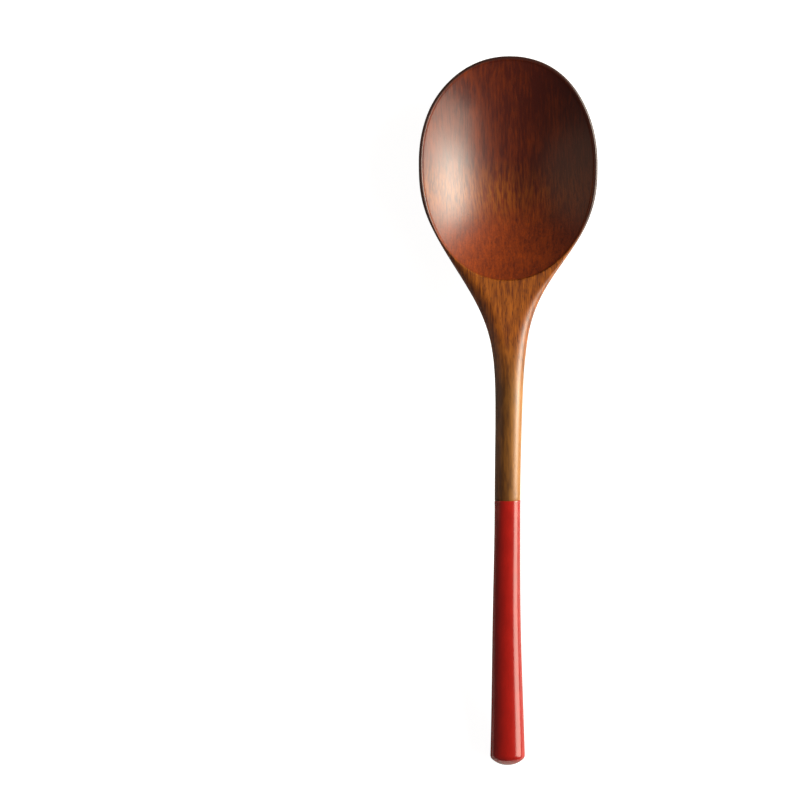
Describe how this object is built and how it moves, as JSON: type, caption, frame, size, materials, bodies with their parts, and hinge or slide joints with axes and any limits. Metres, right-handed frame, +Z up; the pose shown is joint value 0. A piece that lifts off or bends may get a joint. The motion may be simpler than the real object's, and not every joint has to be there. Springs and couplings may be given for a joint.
{
  "type": "wooden table spoon",
  "caption": "Carved wooden table spoon with an egg-shaped bowl, a slim arched handle and a glossy lacquered handle end.",
  "frame": {"origin": "on the table, under the middle of the spoon's overall length, on its plane of symmetry", "axes": "+X to the right of the plane of symmetry, +Y along the spoon towards the bowl's tip, +Z up, out of the bowl's open side"},
  "size_m": [0.0452, 0.18, 0.0175],
  "materials": {
    "varnished_wood": "reddish-brown open-pored hardwood, clear satin varnish, redder and darker in the hollow",
    "red_lacquer": "glossy dipped red lacquer, a cured resin film"
  },
  "bodies": {
    "root": {"carved_spoon": "varnished_wood", "red_lacquer_coat": "red_lacquer"}
  },
  "joints": []
}
